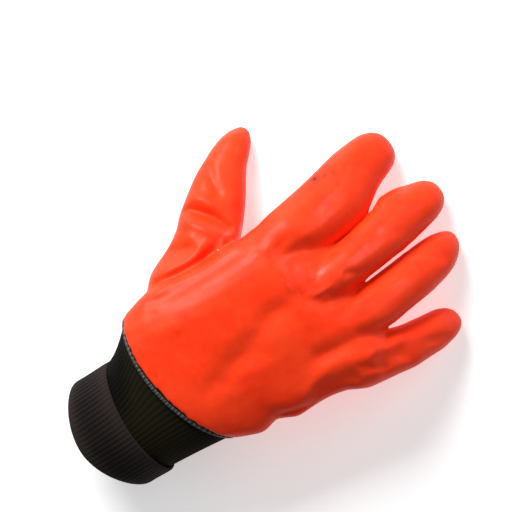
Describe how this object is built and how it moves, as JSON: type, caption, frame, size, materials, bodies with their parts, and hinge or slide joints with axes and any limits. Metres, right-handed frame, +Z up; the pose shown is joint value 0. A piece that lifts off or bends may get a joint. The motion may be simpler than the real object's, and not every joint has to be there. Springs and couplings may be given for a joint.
{
  "type": "pvc coated work glove",
  "caption": "Right-hand work glove, palm down: a hollow smooth coated hand with a ribbed knit wrist that ends in a turned-back band.",
  "frame": {"origin": "on the surface that the glove lies on, under the middle of its bounding box", "axes": "+Y from the wrist to the fingertips, +X towards the little finger, +Z up out of the back of the hand"},
  "size_m": [0.193, 0.281, 0.0699],
  "materials": {
    "coating": "smooth semi-gloss fluorescent orange PVC over a pale jersey backing",
    "seam_knit": "ribbed knit, slightly shiny where the coating has soaked in",
    "rib_knit": "olive-black ribbed knit",
    "band_knit": "matt brown-black ribbed knit"
  },
  "bodies": {
    "root": {"coated_hand": "coating", "seam_roll": "seam_knit", "wrist_rib": "rib_knit", "turned_band": "band_knit"}
  },
  "joints": []
}
